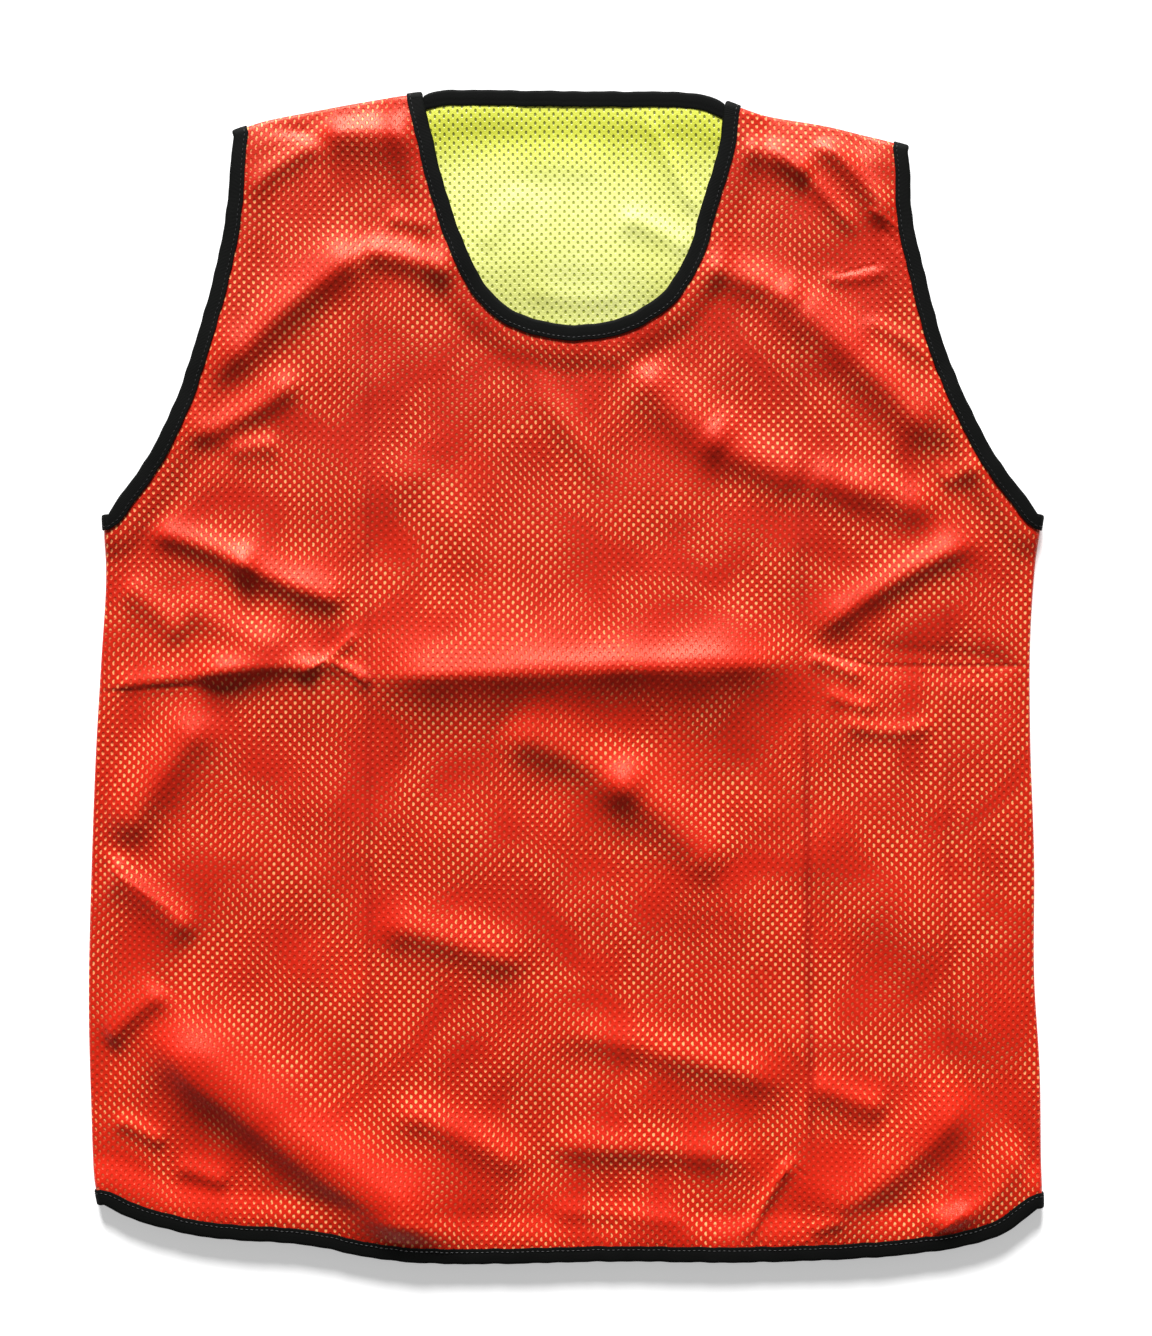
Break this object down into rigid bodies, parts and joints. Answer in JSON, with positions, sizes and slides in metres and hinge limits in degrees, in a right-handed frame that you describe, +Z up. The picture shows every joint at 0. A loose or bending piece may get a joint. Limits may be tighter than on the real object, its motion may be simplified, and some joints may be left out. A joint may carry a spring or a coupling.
{
  "type": "mesh training bib",
  "caption": "Sleeveless reversible mesh bib for team training, scoop neck, bound neck, armholes and hem, laid flat.",
  "frame": {"origin": "middle of the footprint, on the surface that the bib lies on", "axes": "+Y from hem to neck, +X to the right seen from above, +Z up, away from the surface, where the front faces"},
  "size_m": [0.6066, 0.7445, 0.0148],
  "materials": {
    "shell_mesh": "satin red polyester mesh with pinholes",
    "lining_mesh": "satin yellow-green polyester mesh with pinholes",
    "binding": "matt black folded tape with sewing"
  },
  "bodies": {
    "root": {"front_shell": "shell_mesh", "back_shell": "shell_mesh", "front_lining": "lining_mesh", "back_lining": "lining_mesh", "neck_binding": "binding", "armhole_binding_left": "binding", "armhole_binding_right": "binding", "hem_binding": "binding"}
  },
  "joints": []
}
